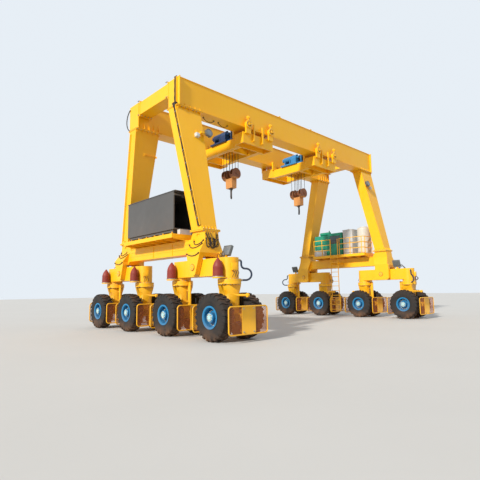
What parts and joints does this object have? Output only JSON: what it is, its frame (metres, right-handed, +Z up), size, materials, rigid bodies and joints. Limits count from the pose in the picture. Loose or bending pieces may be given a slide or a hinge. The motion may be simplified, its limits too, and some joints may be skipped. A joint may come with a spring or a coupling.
{
  "type": "rubber tyred gantry crane",
  "caption": "Portal crane on steered, tyred wheel pairs: box girders on leaning legs carry travelling trolleys with winches and hook blocks.",
  "frame": {"origin": "on the ground, at the middle of the crane", "axes": "+X along the girders, +Y across them, +Z up"},
  "size_m": [16, 10.73, 10.67],
  "materials": {
    "yellow_paint": "satin golden yellow enamel",
    "grey_panel": "matt dark grey sheet",
    "green_paint": "satin green enamel",
    "white_plastic": "moulded white plastic",
    "cream_plastic": "moulded cream plastic",
    "lamp_metal": "dark lamp housings",
    "cable_black": "black rubber sheath",
    "dark_blue_paint": "satin dark blue enamel",
    "light_blue_paint": "satin light blue enamel",
    "wire_rope": "greased wire rope",
    "ochre_paint": "weathered ochre enamel",
    "forged_steel": "dark forged steel",
    "tyre_rubber": "dusty rubber",
    "blue_paint": "gloss blue enamel"
  },
  "bodies": {
    "frame": {"girder_front": "yellow_paint", "girder_back": "yellow_paint", "end_ties": "yellow_paint", "leg_near_front": "yellow_paint", "leg_near_back": "yellow_paint", "leg_far_front": "yellow_paint", "leg_far_back": "yellow_paint", "lower_frame_near": "yellow_paint", "lower_frame_far": "yellow_paint", "platform_near": "yellow_paint", "enclosure": "grey_panel", "platform_far": "yellow_paint", "handrail": "yellow_paint", "ladder": "yellow_paint", "deck_boxes": "white_plastic", "generator": "green_paint", "square_tank": "white_plastic", "square_tank_lid": "white_plastic", "round_tank": "cream_plastic", "round_tank_lid": "cream_plastic", "floodlights": "lamp_metal", "cables": "cable_black"},
    "rocker_near_front": {"equaliser_near_front": "yellow_paint"},
    "rocker_near_back": {"equaliser_near_back": "yellow_paint"},
    "steer_near_1": {"strut_near_1": "yellow_paint"},
    "wheels_near_1": {"tyres_near_1": "tyre_rubber", "rims_near_1": "blue_paint"},
    "steer_near_2": {"strut_near_2": "yellow_paint"},
    "wheels_near_2": {"tyres_near_2": "tyre_rubber", "rims_near_2": "blue_paint"},
    "steer_near_3": {"strut_near_3": "yellow_paint"},
    "wheels_near_3": {"tyres_near_3": "tyre_rubber", "rims_near_3": "blue_paint"},
    "steer_near_4": {"strut_near_4": "yellow_paint"},
    "wheels_near_4": {"tyres_near_4": "tyre_rubber", "rims_near_4": "blue_paint"},
    "rocker_far_front": {"equaliser_far_front": "yellow_paint"},
    "rocker_far_back": {"equaliser_far_back": "yellow_paint"},
    "steer_far_1": {"strut_far_1": "yellow_paint"},
    "wheels_far_1": {"tyres_far_1": "tyre_rubber", "rims_far_1": "blue_paint"},
    "steer_far_2": {"strut_far_2": "yellow_paint"},
    "wheels_far_2": {"tyres_far_2": "tyre_rubber", "rims_far_2": "blue_paint"},
    "steer_far_3": {"strut_far_3": "yellow_paint"},
    "wheels_far_3": {"tyres_far_3": "tyre_rubber", "rims_far_3": "blue_paint"},
    "steer_far_4": {"strut_far_4": "yellow_paint"},
    "wheels_far_4": {"tyres_far_4": "tyre_rubber", "rims_far_4": "blue_paint"},
    "trolley_1": {"trolley_1": "yellow_paint", "winch_1": "dark_blue_paint", "ropes_1": "wire_rope"},
    "block_1": {"hook_block_1": "ochre_paint"},
    "hook_1": {"hook_1": "forged_steel"},
    "trolley_2": {"trolley_2": "yellow_paint", "winch_2": "light_blue_paint", "ropes_2": "wire_rope"},
    "block_2": {"hook_block_2": "ochre_paint"},
    "hook_2": {"hook_2": "forged_steel"}
  },
  "joints": [
    {"name": "rock_near_front", "type": "hinge", "parent": "frame", "child": "rocker_near_front", "pos_m": [-7.05, -2.944, 2.606], "axis": [1, 0, 0], "range_deg": [-3, 3]},
    {"name": "rock_near_back", "type": "hinge", "parent": "frame", "child": "rocker_near_back", "pos_m": [-7.05, 2.944, 2.606], "axis": [1, 0, 0], "range_deg": [-3, 3]},
    {"name": "steer_near_1", "type": "hinge", "parent": "rocker_near_front", "child": "steer_near_1", "pos_m": [-7.05, -4.381, 2.04], "axis": [0, 0, 1], "range_deg": [-10, 90]},
    {"name": "spin_near_1", "type": "hinge", "parent": "steer_near_1", "child": "wheels_near_1", "pos_m": [-7.05, -4.381, 0.825], "axis": [1, 0, 0], "continuous": true},
    {"name": "steer_near_2", "type": "hinge", "parent": "rocker_near_front", "child": "steer_near_2", "pos_m": [-7.05, -1.507, 2.04], "axis": [0, 0, 1], "range_deg": [-10, 90]},
    {"name": "spin_near_2", "type": "hinge", "parent": "steer_near_2", "child": "wheels_near_2", "pos_m": [-7.05, -1.507, 0.825], "axis": [1, 0, 0], "continuous": true},
    {"name": "steer_near_3", "type": "hinge", "parent": "rocker_near_back", "child": "steer_near_3", "pos_m": [-7.05, 1.507, 2.04], "axis": [0, 0, 1], "range_deg": [-10, 90]},
    {"name": "spin_near_3", "type": "hinge", "parent": "steer_near_3", "child": "wheels_near_3", "pos_m": [-7.05, 1.507, 0.825], "axis": [1, 0, 0], "continuous": true},
    {"name": "steer_near_4", "type": "hinge", "parent": "rocker_near_back", "child": "steer_near_4", "pos_m": [-7.05, 4.381, 2.04], "axis": [0, 0, 1], "range_deg": [-10, 90]},
    {"name": "spin_near_4", "type": "hinge", "parent": "steer_near_4", "child": "wheels_near_4", "pos_m": [-7.05, 4.381, 0.825], "axis": [1, 0, 0], "continuous": true},
    {"name": "rock_far_front", "type": "hinge", "parent": "frame", "child": "rocker_far_front", "pos_m": [7.05, -2.944, 2.606], "axis": [1, 0, 0], "range_deg": [-3, 3]},
    {"name": "rock_far_back", "type": "hinge", "parent": "frame", "child": "rocker_far_back", "pos_m": [7.05, 2.944, 2.606], "axis": [1, 0, 0], "range_deg": [-3, 3]},
    {"name": "steer_far_1", "type": "hinge", "parent": "rocker_far_front", "child": "steer_far_1", "pos_m": [7.05, -4.381, 2.04], "axis": [0, 0, 1], "range_deg": [-10, 90]},
    {"name": "spin_far_1", "type": "hinge", "parent": "steer_far_1", "child": "wheels_far_1", "pos_m": [7.05, -4.381, 0.825], "axis": [1, 0, 0], "continuous": true},
    {"name": "steer_far_2", "type": "hinge", "parent": "rocker_far_front", "child": "steer_far_2", "pos_m": [7.05, -1.507, 2.04], "axis": [0, 0, 1], "range_deg": [-10, 90]},
    {"name": "spin_far_2", "type": "hinge", "parent": "steer_far_2", "child": "wheels_far_2", "pos_m": [7.05, -1.507, 0.825], "axis": [1, 0, 0], "continuous": true},
    {"name": "steer_far_3", "type": "hinge", "parent": "rocker_far_back", "child": "steer_far_3", "pos_m": [7.05, 1.507, 2.04], "axis": [0, 0, 1], "range_deg": [-10, 90]},
    {"name": "spin_far_3", "type": "hinge", "parent": "steer_far_3", "child": "wheels_far_3", "pos_m": [7.05, 1.507, 0.825], "axis": [1, 0, 0], "continuous": true},
    {"name": "steer_far_4", "type": "hinge", "parent": "rocker_far_back", "child": "steer_far_4", "pos_m": [7.05, 4.381, 2.04], "axis": [0, 0, 1], "range_deg": [-10, 90]},
    {"name": "spin_far_4", "type": "hinge", "parent": "steer_far_4", "child": "wheels_far_4", "pos_m": [7.05, 4.381, 0.825], "axis": [1, 0, 0], "continuous": true},
    {"name": "travel_1", "type": "slide", "parent": "frame", "child": "trolley_1", "axis": [1, 0, 0], "range_m": [-2.2, 1.5]},
    {"name": "hoist_1", "type": "slide", "parent": "trolley_1", "child": "block_1", "axis": [0, 0, 1], "range_m": [-5.9, 0.3], "deforming": ["ropes_1"]},
    {"name": "swivel_1", "type": "hinge", "parent": "block_1", "child": "hook_1", "pos_m": [-2.98, 0, 6.95], "axis": [0, 0, 1], "continuous": true},
    {"name": "travel_2", "type": "slide", "parent": "frame", "child": "trolley_2", "axis": [1, 0, 0], "range_m": [-1.5, 2.7]},
    {"name": "hoist_2", "type": "slide", "parent": "trolley_2", "child": "block_2", "axis": [0, 0, 1], "range_m": [-5.7, 0.45], "deforming": ["ropes_2"]},
    {"name": "swivel_2", "type": "hinge", "parent": "block_2", "child": "hook_2", "pos_m": [2.49, 0, 6.77], "axis": [0, 0, 1], "continuous": true}
  ]
}
